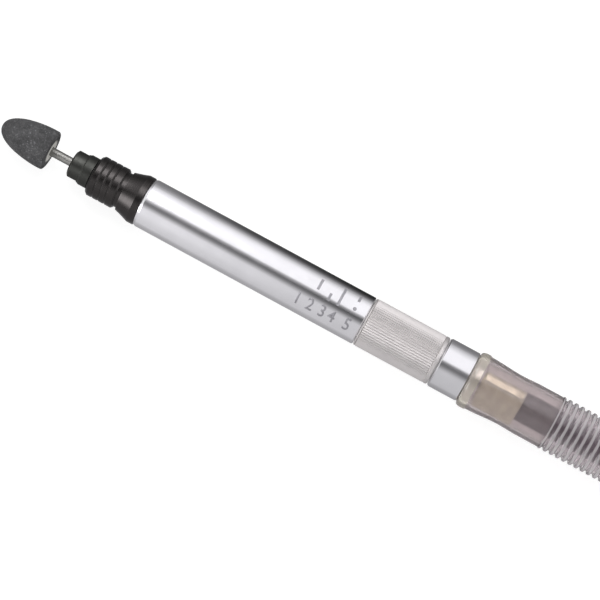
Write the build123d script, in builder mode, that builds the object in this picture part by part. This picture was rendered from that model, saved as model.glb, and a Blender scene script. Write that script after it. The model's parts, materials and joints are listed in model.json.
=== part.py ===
"""Pencil air grinder with a mounted point, its throttle, air hose and exhaust hose.

Millimetres, +Z up. The tool lies along X with the stone at -X, and rests on z = 0.
Stations are distances along the tool's axis from the tip of the stone.
"""

import os
from math import cos, radians, sin, tan

from build123d import *

# Mounted point
stone_length = 18.3
stone_radius = 6.9
stone_side = 15.7
stone_round = 0.8
stone_blunt = 5.7
stone_reach = 12.5
shank_radius = 1.5
shank_bare = 8.0
shank_start = 11.4
shank_end = 43.4

# Chuck
nut_length = 7.9
nut_radius = 5.4
nut_waist = 5.1
nut_front_radius = 4.95
nut_face = 4.1
nut_mouth = 1.9
nut_lip = 0.75
nut_step = 4.3
flat_width = 4.75
flat_length = 4.0
collet_radius = 3.0
collet_face = 2.3
collet_cone = 1.2
collet_taper = 5.6
collet_length = 17.6
slit_width = 0.5
slit_length = 13.0

# Nose and barrel
nose_ring_length = 10.1
nose_ring_radius = 7.1
nose_bore = 4.85
nose_socket = 6.0
nose_grooves = (2.7, 4.95, 7.2)
groove_half = 0.4
groove_depth = 0.25
seal_depth = 2.8
seal_thickness = 1.2
seal_bore = 4.75
neck_length = 1.5
neck_radius = 6.2
flare_length = 7.3
flare_radius = 6.95
flare_rise = 4.9
barrel_length = 81.8
barrel_radius = 8.5
barrel_bore = 7.0
barrel_bevel = 0.9

# Throttle ring and rear end
throttle_length = 27.3
throttle_bore = 6.25
throttle_turn = 90
flute_count = 60
flute_depth = 0.3
front_band = 0.8
rear_band = 1.6
collar_length = 10.9
collar_radius = 8.7
collar_edge = 0.5
spigot_radius = 7.7
spigot_length = 3.7
vent_count = 6
vent_radius = 0.75
vent_circle = 5.4

# Fits and gaps
nut_gap = 0.3
throttle_gap = 0.2
touch = 0.05
slip = 0.02
running = 0.05
end_play = 0.2

# Motor
journal_radius = 2.5
tail_radius = 2.0
shoulder_radius = 3.3
thread_radius = 3.5
hub_radius = 4.6
front_half = 2.5
front_outside = 5.5
rear_half = 2.0
rear_outside = 4.5
ball_count = 7
rotor_radius = 5.0
rotor_length = 42.2
liner_length = 42.6
liner_bore = 5.7
liner_offset = 0.6
vane_count = 4
vane_angle = 45
vane_thickness = 0.9
vane_depth = 1.9
vane_play = 0.1
channel_angle = 250
channel_width = 5.0
channel_depth = 0.7
port_count = 5
port_start = 8.0
port_pitch = 6.0
port_radius = 0.9
pin_angle = 325
pin_circle = 6.1
pin_radius = 0.6
pin_depth = 4.0
plate_bore = 3.2
plate_rim = 6.2
circlip_groove = 0.3
circlip_radius = 2.9
washer_thickness = 0.32

# Valve inside the throttle ring
valve_radius = 6.2
inlet_angle = 0
inlet_radius = 1.8
delivery_angle = 100
delivery_circle = 5.7
delivery_depth = 3.7
drill_radius = 0.7
detent_angle = 140
detent_seat = 2.6
detent_circle = 5.6
detent_ball_radius = 1.0
spring_pitch = 0.46
spring_height = 1.84
spring_coil_radius = 0.72
spring_wire = 0.14
stop_angle = 330
stop_seat = 4.0
stop_length = 3.4
exhaust_angles = (195, 240, 285)
exhaust_circle = 3.9
exhaust_radius = 0.8
seal_half = 0.65
barrel_seal_floor = 6.0
barrel_seal_ring = (6.49, 0.48)
throttle_seal_floor = 5.15
throttle_seal_ring = (5.69, 0.5)
bridge_arc = 120
bridge_lead = 110

# Hose tail and nut
nipple_bore = 1.6
nipple_radius = 2.5
nipple_flange = 4.0
nipple_root = 2.8
nipple_barb = 3.25
barb_lead = 2.5
barb_count = 3
barb_pitch = 3.0
washer_radius = 4.2
gasket_thickness = 0.4
flange_length = 2.5
hose_nut_radius = 7.5
hose_nut_length = 14.9
hose_nut_flat = 4.8
flat_count = 3
flat_angle = 125

# Hoses
hose_radius = 5.0
hose_bore = 3.3
cuff_length = 30.4
cuff_radius = 9.1
cuff_waist = 8.85
lip_radius = 9.8
lip_length = 3.2
lip_round = 0.9
lip_step = 0.5
cuff_shoulder = 9.45
cuff_middle = 9.08
cuff_middle_at = 10.5
cuff_waist_at = 15.3
cuff_plain_at = 22.0
rib_count = 50
rib_pitch = 2.27
rib_lead = 0.4
rib_crest = 9.4
rib_root = 8.5
exhaust_bore = 7.8
exhaust_length = 114.0
coil_step = 10.5
layer_step = 10.55
coil_left = 245.0
coil_right = 305.0
coil_width = 101.0
tie_thickness = 0.8
tie_width = 10.0
tie_gap = 0.15

# Coupling plug
plug_tip = 112.0
plug_y = 100.0
plug_z = 6.2
plug_bore = 1.8
plug_radius = 4.0
plug_length = 10.0
plug_neck = 3.2
plug_collar = 5.5
hex_width = 5.2
hex_start = 21.0
ferrule_radius = 5.9
ferrule_length = 13.0
crimps = (3.0, 6.0, 9.0)
crimp_half = 0.8
crimp_depth = 0.3

# Stations that follow from the sizes above
nut_front = stone_length + shank_bare
nut_rear = nut_front + nut_length
nose_front = nut_rear + nut_gap
nose_rear = nose_front + nose_ring_length
flare_front = nose_rear + neck_length
barrel_front = flare_front + flare_length
barrel_rear = barrel_front + barrel_length
throttle_front = barrel_rear + throttle_gap
throttle_rear = throttle_front + throttle_length
collar_front = throttle_rear + throttle_gap
collar_rear = collar_front + collar_length
spigot_rear = collar_rear + spigot_length
cuff_rear = collar_rear + cuff_length
exhaust_rear = cuff_rear + exhaust_length

nut_seat = nut_front + nut_lip
collet_front = nut_seat + touch
cone_end = collet_front + collet_cone
taper_end = collet_front + collet_taper
collet_rear = collet_front + collet_length
seal_front = nose_front + seal_depth
cone_front = seal_front + seal_thickness

front_bearing = barrel_front
bearing_front = front_bearing - front_half
hub_front = nose_front + 0.1
hub_rear = bearing_front - 0.8
front_plate = front_bearing + 4.5
liner_front = front_plate + 3.0
liner_rear = liner_front + liner_length
rotor_front = liner_front + end_play
tail_front = liner_rear - end_play
rear_pocket = liner_rear + 3.8
rear_bearing = rear_pocket + rear_half
bearing_rear = rear_bearing + rear_half
plate_rear = bearing_rear + 0.8

barrel_seal = barrel_rear - 4.2
front_seal = throttle_front + 3.1
rear_seal = throttle_rear - 2.9
detent_station = throttle_front + 8.1
port_station = throttle_front + 14.6
stop_station = throttle_front + 20.6
nipple_front = collar_front + 0.9
valve_rear = collar_rear - 1.9
collar_floor = collar_rear - 1.3
flange_front = spigot_rear + gasket_thickness
flange_rear = flange_front + flange_length
hose_nut_rear = flange_front + hose_nut_length
hose_start = hose_nut_rear + touch

# The tool's frame
tip_x = -cuff_rear / 2
axis_height = lip_radius
tool_axis = Axis((tip_x, 0, axis_height), (1, 0, 0))


def half_plane(angle=90):
    """Plane through the axis: local x is the station, local y the radius at this angle."""
    turn = radians(angle)
    return Plane((tip_x, 0, axis_height), x_dir=(1, 0, 0), z_dir=(0, -sin(turn), cos(turn)))


def cross_plane(station):
    """Plane square to the axis: local x is +Y, local y is +Z."""
    return Plane((tip_x + station, 0, axis_height), x_dir=(0, 1, 0), z_dir=(1, 0, 0))


def radial_plane(station, angle, radius=0.0):
    """Plane square to a spoke of the axis, facing outwards."""
    turn = radians(angle)
    foot = (tip_x + station, radius * cos(turn), axis_height + radius * sin(turn))
    return Plane(foot, x_dir=(1, 0, 0), z_dir=(0, cos(turn), sin(turn)))


def corner_radii(points):
    """Fillet radius at each inner point of a hose's route."""
    radii = []
    for before, corner, after in zip(points, points[1:], points[2:]):
        run_in = Vector(*corner) - Vector(*before)
        run_out = Vector(*after) - Vector(*corner)
        half_turn = radians(run_in.get_angle(run_out) / 2)
        radii.append(0.45 * min(run_in.length, run_out.length) / tan(half_turn))
    return radii


os.makedirs("parts", exist_ok=True)

# Mounted point
with BuildPart() as grinding_stone:
    with BuildSketch(half_plane()):
        with BuildLine():
            Bezier(
                (0, 0),
                (0, stone_blunt),
                (stone_reach, stone_radius),
                (stone_side, stone_radius),
            )
            Line((stone_side, stone_radius), (stone_length - stone_round, stone_radius))
            RadiusArc(
                (stone_length - stone_round, stone_radius),
                (stone_length, stone_radius - stone_round),
                stone_round,
            )
            Polyline(
                (stone_length, stone_radius - stone_round),
                (stone_length, shank_radius + slip),
                (shank_start, shank_radius + slip),
                (shank_start, 0),
                (0, 0),
            )
        make_face()
    revolve(axis=tool_axis)
grinding_stone.part.label = "grinding_stone"
export_step(grinding_stone.part, "parts/grinding_stone.step")

with BuildPart() as stone_shank:
    with BuildSketch(half_plane()):
        with BuildLine():
            Polyline(
                (shank_start + touch, 0),
                (shank_start + touch, shank_radius),
                (shank_end - 0.3, shank_radius),
                (shank_end, shank_radius - 0.3),
                (shank_end, 0),
                close=True,
            )
        make_face()
    revolve(axis=tool_axis)
stone_shank.part.label = "stone_shank"
export_step(stone_shank.part, "parts/stone_shank.step")

# Chuck
with BuildPart() as collet_nut:
    with BuildSketch(half_plane()):
        with BuildLine():
            Polyline(
                (nut_front, nut_mouth),
                (nut_front, nut_face),
                (nut_front + 0.6, nut_front_radius),
                (nut_front + nut_step, nut_waist),
                (nut_front + nut_step + 0.5, nut_radius),
                (nut_rear - 0.25, nut_radius),
                (nut_rear, nut_radius - 0.25),
                (nut_rear, thread_radius + running),
                (cone_end + touch, thread_radius + running),
                (cone_end + touch, collet_radius + 0.08),
                (nut_seat, collet_face + running),
                (nut_seat, nut_mouth),
                close=True,
            )
        make_face()
    revolve(axis=tool_axis)
    # Spanner flats on the front half
    with BuildSketch(cross_plane(nut_front)):
        Rectangle(4 * nut_radius, 4 * nut_radius)
        Rectangle(2 * flat_width, 4 * nut_radius, mode=Mode.SUBTRACT)
    extrude(amount=flat_length, mode=Mode.SUBTRACT)
collet_nut.part.label = "collet_nut"
export_step(collet_nut.part, "parts/collet_nut.step")

with BuildPart() as collet:
    with BuildSketch(half_plane()):
        with BuildLine():
            Polyline(
                (collet_front, shank_radius + 0.03),
                (collet_front, collet_face),
                (cone_end, collet_radius),
                (cone_end + 0.4, collet_radius),
                (taper_end, journal_radius),
                (collet_rear, journal_radius),
                (collet_rear, shank_radius + 0.03),
                close=True,
            )
        make_face()
    revolve(axis=tool_axis)
    # Slits that let the jaws close on the shank
    with BuildSketch(cross_plane(collet_front)):
        with PolarLocations(collet_face, 3, start_angle=30):
            Rectangle(2.0, slit_width)
    extrude(amount=slit_length, mode=Mode.SUBTRACT)
collet.part.label = "collet"
export_step(collet.part, "parts/collet.step")

with BuildPart() as spindle:
    with BuildSketch(half_plane()):
        with BuildLine():
            Polyline(
                (cone_end + 0.2, collet_radius + 0.1),
                (cone_end + 0.2, shoulder_radius),
                (cone_end + 0.4, thread_radius),
                (hub_front, thread_radius),
                (hub_front, hub_radius),
                (hub_rear, hub_radius),
                (hub_rear, shoulder_radius),
                (bearing_front, shoulder_radius),
                (bearing_front, journal_radius),
                (tail_front, journal_radius),
                (tail_front, tail_radius),
                (bearing_rear, tail_radius),
                (bearing_rear, tail_radius - circlip_groove),
                (bearing_rear + 0.45, tail_radius - circlip_groove),
                (bearing_rear + 0.45, tail_radius),
                (bearing_rear + 0.65, tail_radius),
                (bearing_rear + 0.65, 0),
                (collet_rear + 2.4, 0),
                (collet_rear + 1.0, journal_radius + running),
                (taper_end, journal_radius + running),
                close=True,
            )
        make_face()
    revolve(axis=tool_axis)
spindle.part.label = "spindle"
export_step(spindle.part, "parts/spindle.step")

# Nose
ring_line = [
    (nose_front, nose_bore),
    (nose_front, nose_ring_radius - 0.7),
    (nose_front + 0.8, nose_ring_radius),
]
for groove in nose_grooves:
    ring_line.append((nose_front + groove - groove_half, nose_ring_radius))
    ring_line.append((nose_front + groove, nose_ring_radius - groove_depth))
    ring_line.append((nose_front + groove + groove_half, nose_ring_radius))
ring_line.append((nose_rear - 0.5, nose_ring_radius))
ring_line.append((nose_rear, nose_ring_radius - 0.4))
ring_line.append((nose_rear, nose_socket))
ring_line.append((seal_front, nose_socket))
ring_line.append((seal_front, nose_bore))

with BuildPart() as nose_ring:
    with BuildSketch(half_plane()):
        with BuildLine():
            Polyline(*ring_line, close=True)
        make_face()
    revolve(axis=tool_axis)
nose_ring.part.label = "nose_ring"
export_step(nose_ring.part, "parts/nose_ring.step")

with BuildPart() as dust_seal:
    with BuildSketch(cross_plane(seal_front)):
        Circle(nose_socket - slip)
        Circle(seal_bore, mode=Mode.SUBTRACT)
    extrude(amount=seal_thickness)
dust_seal.part.label = "dust_seal"
export_step(dust_seal.part, "parts/dust_seal.step")

with BuildPart() as nose_cone:
    with BuildSketch(half_plane()):
        with BuildLine():
            Polyline(
                (cone_front, nose_bore),
                (cone_front, nose_socket - slip),
                (nose_rear, nose_socket - slip),
                (nose_rear, neck_radius),
                (flare_front, neck_radius),
                (flare_front, flare_radius),
            )
            # The flare is slightly hollow between its foot and the rim
            ThreePointArc(
                (flare_front, flare_radius),
                (flare_front + flare_rise / 2, (flare_radius + barrel_radius) / 2 - 0.08),
                (flare_front + flare_rise, barrel_radius),
            )
            Polyline(
                (flare_front + flare_rise, barrel_radius),
                (barrel_front - 0.3, barrel_radius),
                (barrel_front, barrel_radius - 0.3),
                (barrel_front, barrel_bore - slip),
                (front_plate, barrel_bore - slip),
                (front_plate, front_outside),
                (bearing_front, front_outside),
                (bearing_front, nose_bore),
                (cone_front, nose_bore),
            )
        make_face()
    revolve(axis=tool_axis)
nose_cone.part.label = "nose_cone"
export_step(nose_cone.part, "parts/nose_cone.step")

# Ball bearings: name, station, half width, bore, ring radii, outside, pitch, ball
bearings = (
    ("front", front_bearing, front_half, journal_radius, 3.45, 4.55, front_outside, 4.0, 0.95),
    ("rear", rear_bearing, rear_half, tail_radius, 2.75, 3.75, rear_outside, 3.25, 0.75),
)
for name, middle, half_width, bore, inner, outer, outside, pitch, ball in bearings:
    with BuildPart() as outer_ring:
        with BuildSketch(half_plane()):
            with Locations((middle, (outer + outside - slip) / 2)):
                Rectangle(2 * half_width, outside - slip - outer)
            with Locations((middle, pitch)):
                Circle(ball + running, mode=Mode.SUBTRACT)
        revolve(axis=tool_axis)
    outer_ring.part.label = f"{name}_bearing_outer_ring"
    export_step(outer_ring.part, f"parts/{name}_bearing_outer_ring.step")

    with BuildPart() as inner_ring:
        with BuildSketch(half_plane()):
            with Locations((middle, (bore + slip + inner) / 2)):
                Rectangle(2 * half_width, inner - bore - slip)
            with Locations((middle, pitch)):
                Circle(ball + running, mode=Mode.SUBTRACT)
        revolve(axis=tool_axis)
    inner_ring.part.label = f"{name}_bearing_inner_ring"
    export_step(inner_ring.part, f"parts/{name}_bearing_inner_ring.step")

    with BuildPart(cross_plane(middle)) as balls:
        with PolarLocations(pitch, ball_count):
            Sphere(ball)
    balls.part.label = f"{name}_bearing_balls"
    export_step(balls.part, f"parts/{name}_bearing_balls.step")

    with BuildPart() as cage:
        with BuildSketch(cross_plane(middle)):
            Circle(pitch + 0.25)
            Circle(pitch - 0.25, mode=Mode.SUBTRACT)
        extrude(amount=ball + 0.35, both=True)
        for number in range(ball_count):
            with BuildSketch(radial_plane(middle, 360 / ball_count * number)):
                Circle(ball + running)
            extrude(amount=outside, mode=Mode.SUBTRACT)
    cage.part.label = f"{name}_bearing_cage"
    export_step(cage.part, f"parts/{name}_bearing_cage.step")

# Vane motor
with BuildPart() as front_spacer:
    with BuildSketch(cross_plane(front_bearing + front_half)):
        Circle(shoulder_radius)
        Circle(journal_radius + slip, mode=Mode.SUBTRACT)
    extrude(amount=rotor_front - front_bearing - front_half)
front_spacer.part.label = "front_spacer"
export_step(front_spacer.part, "parts/front_spacer.step")

with BuildPart() as front_end_plate:
    with BuildSketch(half_plane()):
        with BuildLine():
            Polyline(
                (front_bearing + front_half, shoulder_radius + 1.0),
                (front_bearing + front_half, front_outside - slip),
                (front_plate, front_outside - slip),
                (front_plate, barrel_bore - slip),
                (liner_front, barrel_bore - slip),
                (liner_front, shoulder_radius + 0.3),
                (front_plate + 0.2, shoulder_radius + 0.3),
                (front_plate + 0.2, shoulder_radius + 1.0),
                close=True,
            )
        make_face()
    revolve(axis=tool_axis)
front_end_plate.part.label = "front_end_plate"
export_step(front_end_plate.part, "parts/front_end_plate.step")

with BuildPart() as cylinder_liner:
    with BuildSketch(cross_plane(liner_front)):
        Circle(barrel_bore - slip)
        with Locations((0, liner_offset)):
            Circle(liner_bore, mode=Mode.SUBTRACT)
    extrude(amount=liner_length)
    # Channel outside, from the exhaust ports to the rear
    with BuildSketch(cross_plane(liner_front)):
        with PolarLocations(barrel_bore, 1, start_angle=channel_angle):
            Rectangle(2 * channel_depth, channel_width)
    extrude(amount=liner_length, mode=Mode.SUBTRACT)
    for port in range(port_count):
        with BuildSketch(radial_plane(liner_front + port_start + port_pitch * port, channel_angle)):
            Circle(port_radius)
        extrude(amount=barrel_bore + 1.0, mode=Mode.SUBTRACT)
    with BuildSketch(cross_plane(liner_rear)):
        with PolarLocations(pin_circle, 1, start_angle=pin_angle):
            Circle(pin_radius + slip)
    extrude(amount=-pin_depth, mode=Mode.SUBTRACT)
cylinder_liner.part.label = "cylinder_liner"
export_step(cylinder_liner.part, "parts/cylinder_liner.step")

with BuildPart() as rotor:
    with BuildSketch(cross_plane(rotor_front)):
        Circle(rotor_radius)
        Circle(journal_radius + slip, mode=Mode.SUBTRACT)
        with PolarLocations(rotor_radius - 1.0, vane_count, start_angle=vane_angle):
            Rectangle(vane_depth + 0.15, vane_thickness + vane_play, mode=Mode.SUBTRACT)
    extrude(amount=rotor_length)
rotor.part.label = "rotor"
export_step(rotor.part, "parts/rotor.step")

for number in range(vane_count):
    with BuildPart() as vane:
        with BuildSketch(cross_plane(rotor_front + end_play)):
            with PolarLocations(rotor_radius - 1.0, 1, start_angle=vane_angle + 360 / vane_count * number):
                Rectangle(vane_depth, vane_thickness)
        extrude(amount=rotor_length - 2 * end_play)
    vane.part.label = f"vane_{number + 1}"
    export_step(vane.part, f"parts/vane_{number + 1}.step")

with BuildPart() as liner_pin:
    with BuildSketch(cross_plane(liner_rear - pin_depth + 0.1)):
        with PolarLocations(pin_circle, 1, start_angle=pin_angle):
            Circle(pin_radius)
    extrude(amount=2 * pin_depth - 0.2)
liner_pin.part.label = "liner_pin"
export_step(liner_pin.part, "parts/liner_pin.step")

with BuildPart() as rear_spacer:
    with BuildSketch(cross_plane(tail_front)):
        Circle(circlip_radius)
        Circle(tail_radius + slip, mode=Mode.SUBTRACT)
    extrude(amount=rear_pocket - tail_front)
rear_spacer.part.label = "rear_spacer"
export_step(rear_spacer.part, "parts/rear_spacer.step")

with BuildPart() as rear_end_plate:
    with BuildSketch(half_plane()):
        with BuildLine():
            Polyline(
                (liner_rear, plate_bore),
                (liner_rear, barrel_bore - slip),
                (plate_rear, barrel_bore - slip),
                (plate_rear, rear_outside),
                (rear_pocket, rear_outside),
                (rear_pocket, plate_bore),
                close=True,
            )
        make_face()
    revolve(axis=tool_axis)
    # Live air comes in through the plate, and spent air passes round its rim
    with BuildSketch(cross_plane(liner_rear)):
        with PolarLocations(delivery_circle, 1, start_angle=delivery_angle):
            Circle(drill_radius)
        with PolarLocations(pin_circle, 1, start_angle=pin_angle):
            Circle(pin_radius + slip)
    extrude(amount=pin_depth, mode=Mode.SUBTRACT)
    with BuildSketch(cross_plane(plate_rear)):
        with PolarLocations(delivery_circle, 1, start_angle=delivery_angle):
            Circle(drill_radius)
    extrude(amount=liner_rear - plate_rear, mode=Mode.SUBTRACT)
    with BuildSketch(half_plane(exhaust_angles[0] - 10)):
        with Locations(((liner_rear + plate_rear) / 2, plate_rim + 0.5)):
            Rectangle(plate_rear - liner_rear + 1.4, 1.0)
    revolve(axis=tool_axis, revolution_arc=115, mode=Mode.SUBTRACT)
rear_end_plate.part.label = "rear_end_plate"
export_step(rear_end_plate.part, "parts/rear_end_plate.step")

with BuildPart() as preload_washer:
    with BuildSketch(half_plane()):
        with BuildLine():
            Polyline(
                (bearing_rear, rear_outside - 0.06),
                (bearing_rear + washer_thickness, rear_outside - 0.06),
                (plate_rear, 3.72),
                (plate_rear - washer_thickness, 3.72),
                close=True,
            )
        make_face()
    revolve(axis=tool_axis)
preload_washer.part.label = "preload_washer"
export_step(preload_washer.part, "parts/preload_washer.step")

with BuildPart() as spindle_circlip:
    with BuildSketch(cross_plane(bearing_rear + slip)):
        Circle(circlip_radius)
        Circle(tail_radius - circlip_groove + slip, mode=Mode.SUBTRACT)
        with Locations((0, circlip_radius - 0.6)):
            Rectangle(1.6, 2.0, mode=Mode.SUBTRACT)
    extrude(amount=0.4)
spindle_circlip.part.label = "spindle_circlip"
export_step(spindle_circlip.part, "parts/spindle_circlip.step")

with BuildPart() as barrel:
    with BuildSketch(half_plane()):
        with BuildLine():
            Polyline(
                (barrel_front, barrel_bore),
                (barrel_front, barrel_radius - 0.4),
                (barrel_front + barrel_bevel, barrel_radius),
                (barrel_rear - 0.3, barrel_radius),
                (barrel_rear, barrel_radius - 0.3),
                (barrel_rear, barrel_bore),
                close=True,
            )
        make_face()
    revolve(axis=tool_axis)
barrel.part.label = "barrel"
export_step(barrel.part, "parts/barrel.step")

# Throttle
with BuildPart() as valve_body:
    with BuildSketch(half_plane()):
        with BuildLine():
            Polyline(
                (plate_rear, 0),
                (plate_rear, barrel_bore - slip),
                (barrel_seal - seal_half, barrel_bore - slip),
                (barrel_seal - seal_half, barrel_seal_floor),
                (barrel_seal + seal_half, barrel_seal_floor),
                (barrel_seal + seal_half, barrel_bore - slip),
                (barrel_rear, barrel_bore - slip),
                (barrel_rear, valve_radius),
                (front_seal - seal_half, valve_radius),
                (front_seal - seal_half, throttle_seal_floor),
                (front_seal + seal_half, throttle_seal_floor),
                (front_seal + seal_half, valve_radius),
                (rear_seal - seal_half, valve_radius),
                (rear_seal - seal_half, throttle_seal_floor),
                (rear_seal + seal_half, throttle_seal_floor),
                (rear_seal + seal_half, valve_radius),
                (collar_front, valve_radius),
                (collar_front, valve_radius - slip),
                (valve_rear, valve_radius - slip),
                (valve_rear, nipple_radius + touch),
                (nipple_front, nipple_radius + touch),
                (nipple_front, inlet_radius),
                (port_station - 1.4, inlet_radius),
                (port_station - 2.4, 0),
                close=True,
            )
        make_face()
    revolve(axis=tool_axis)
    # Inlet port, then the delivery port with its slanting drilling to the motor
    with BuildSketch(radial_plane(port_station, inlet_angle)):
        Circle(port_radius)
    extrude(amount=barrel_radius, mode=Mode.SUBTRACT)
    with BuildSketch(radial_plane(port_station, delivery_angle, delivery_depth)):
        Circle(port_radius)
    extrude(amount=barrel_radius - delivery_depth, mode=Mode.SUBTRACT)
    drill_start = half_plane(delivery_angle).from_local_coords((plate_rear, delivery_circle, 0))
    drill_end = half_plane(delivery_angle).from_local_coords((port_station + 0.5, delivery_depth, 0))
    drill_run = Vector(*drill_end) - Vector(*drill_start)
    with BuildSketch(Plane(drill_start - drill_run * 0.02, z_dir=drill_run)):
        Circle(drill_radius)
    extrude(amount=drill_run.length * 1.02, mode=Mode.SUBTRACT)
    # Exhaust passages
    with BuildSketch(cross_plane(plate_rear)):
        for angle in exhaust_angles:
            with PolarLocations(exhaust_circle, 1, start_angle=angle):
                Circle(exhaust_radius)
    extrude(amount=valve_rear - plate_rear + 1.0, mode=Mode.SUBTRACT)
    with BuildSketch(cross_plane(plate_rear)):
        for angle in exhaust_angles:
            with PolarLocations(exhaust_circle + 2 * exhaust_radius, 1, start_angle=angle):
                Rectangle(4 * exhaust_radius, 2 * exhaust_radius)
    extrude(amount=1.2, mode=Mode.SUBTRACT)
    # Pockets for the detent and the stop pin
    with BuildSketch(radial_plane(detent_station, detent_angle, detent_seat)):
        Circle(detent_ball_radius + running)
    extrude(amount=4.0, mode=Mode.SUBTRACT)
    with BuildSketch(radial_plane(stop_station, stop_angle, stop_seat)):
        Circle(port_radius)
    extrude(amount=3.0, mode=Mode.SUBTRACT)
valve_body.part.label = "valve_body"
export_step(valve_body.part, "parts/valve_body.step")

with BuildPart(cross_plane(barrel_seal)) as barrel_o_ring:
    Torus(*barrel_seal_ring)
barrel_o_ring.part.label = "barrel_o_ring"
export_step(barrel_o_ring.part, "parts/barrel_o_ring.step")

for name, middle in (("front", front_seal), ("rear", rear_seal)):
    with BuildPart(cross_plane(middle)) as o_ring:
        Torus(*throttle_seal_ring)
    o_ring.part.label = f"throttle_o_ring_{name}"
    export_step(o_ring.part, f"parts/throttle_o_ring_{name}.step")

with BuildPart() as detent_spring:
    spring_foot = radial_plane(detent_station, detent_angle, detent_seat + spring_wire + slip)
    with BuildLine() as spring_path:
        Helix(
            spring_pitch,
            spring_height,
            spring_coil_radius,
            center=spring_foot.origin,
            direction=spring_foot.z_dir,
        )
    with BuildSketch(Plane(spring_path.line @ 0, z_dir=spring_path.line % 0)):
        Circle(spring_wire)
    sweep(is_frenet=True)
detent_spring.part.label = "detent_spring"
export_step(detent_spring.part, "parts/detent_spring.step")

with BuildPart(radial_plane(detent_station, detent_angle, detent_circle)) as detent_ball:
    Sphere(detent_ball_radius)
detent_ball.part.label = "detent_ball"
export_step(detent_ball.part, "parts/detent_ball.step")

with BuildPart() as stop_pin:
    with BuildSketch(radial_plane(stop_station, stop_angle, stop_seat + slip)):
        Circle(port_radius - slip)
    extrude(amount=stop_length)
stop_pin.part.label = "stop_pin"
export_step(stop_pin.part, "parts/stop_pin.step")

flutes = []
for step in range(2 * flute_count):
    radius = barrel_radius - flute_depth * (step % 2)
    turn = radians(180 / flute_count * step)
    flutes.append((radius * cos(turn), radius * sin(turn)))

with BuildPart() as throttle_ring:
    for start, inward, band in ((throttle_front, 1, front_band), (throttle_rear, -1, rear_band)):
        with BuildSketch(half_plane()):
            with BuildLine():
                Polyline(
                    (start, throttle_bore),
                    (start, barrel_radius - 0.4),
                    (start + 0.4 * inward, barrel_radius),
                    (start + (band - 0.3) * inward, barrel_radius),
                    (start + band * inward, barrel_radius - flute_depth - 0.05),
                    (start + band * inward, throttle_bore),
                    close=True,
                )
            make_face()
        revolve(axis=tool_axis)
    with BuildSketch(cross_plane(throttle_front + front_band)):
        with BuildLine():
            Polyline(*flutes, close=True)
        make_face()
        Circle(throttle_bore, mode=Mode.SUBTRACT)
    extrude(amount=throttle_length - front_band - rear_band)
    # Air pocket that bridges the two ports when the ring is turned
    with BuildSketch(half_plane(delivery_angle - throttle_turn - bridge_lead)):
        with Locations((port_station, throttle_bore + 0.35)):
            Rectangle(3.0, 1.0)
    revolve(axis=tool_axis, revolution_arc=bridge_arc, mode=Mode.SUBTRACT)
    # Slot whose ends stop the ring against the pin
    with BuildSketch(half_plane(stop_angle - throttle_turn - 8)):
        with Locations((stop_station, throttle_bore + 0.55)):
            Rectangle(2.0, 1.6)
    revolve(axis=tool_axis, revolution_arc=throttle_turn + 16, mode=Mode.SUBTRACT)
    # Track for the detent ball
    with BuildSketch(half_plane(detent_angle - throttle_turn - 12)):
        with Locations((detent_station, detent_circle)):
            Circle(detent_ball_radius + 0.08)
    revolve(axis=tool_axis, revolution_arc=throttle_turn + 24, mode=Mode.SUBTRACT)
throttle_ring.part.label = "throttle_ring"
export_step(throttle_ring.part, "parts/throttle_ring.step")

# Rear end
with BuildPart() as rear_collar:
    with BuildSketch(half_plane()):
        with BuildLine():
            Polyline(
                (collar_front, valve_radius),
                (collar_front, collar_radius - collar_edge),
                (collar_front + collar_edge, collar_radius),
                (collar_rear - collar_edge, collar_radius),
                (collar_rear, collar_radius - collar_edge),
                (collar_rear, spigot_radius),
                (spigot_rear, spigot_radius),
                (spigot_rear, nipple_radius + touch),
                (collar_floor, nipple_radius + touch),
                (collar_floor, valve_radius),
                close=True,
            )
        make_face()
    revolve(axis=tool_axis)
    with BuildSketch(cross_plane(collar_floor)):
        with PolarLocations(vent_circle, vent_count):
            Circle(vent_radius)
    extrude(amount=spigot_rear - collar_floor + 1.0, mode=Mode.SUBTRACT)
rear_collar.part.label = "rear_collar"
export_step(rear_collar.part, "parts/rear_collar.step")

with BuildPart() as nipple_washer:
    with BuildSketch(cross_plane(spigot_rear)):
        Circle(washer_radius)
        Circle(nipple_radius + touch, mode=Mode.SUBTRACT)
    extrude(amount=gasket_thickness)
nipple_washer.part.label = "nipple_washer"
export_step(nipple_washer.part, "parts/nipple_washer.step")

nipple_line = [
    (nipple_front, nipple_bore),
    (nipple_front, nipple_radius),
    (flange_front, nipple_radius),
    (flange_front, nipple_flange),
    (flange_rear, nipple_flange),
    (flange_rear, nipple_root),
]
for barb in range(barb_count):
    barb_front = hose_start + barb_lead + barb_pitch * barb
    nipple_line.append((barb_front, nipple_root))
    nipple_line.append((barb_front, nipple_barb))
nipple_line.append((barb_front + barb_pitch, nipple_root - 0.2))
nipple_line.append((barb_front + barb_pitch, nipple_bore))

with BuildPart() as hose_nipple:
    with BuildSketch(half_plane()):
        with BuildLine():
            Polyline(*nipple_line, close=True)
        make_face()
    revolve(axis=tool_axis)
hose_nipple.part.label = "hose_nipple"
export_step(hose_nipple.part, "parts/hose_nipple.step")

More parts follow.
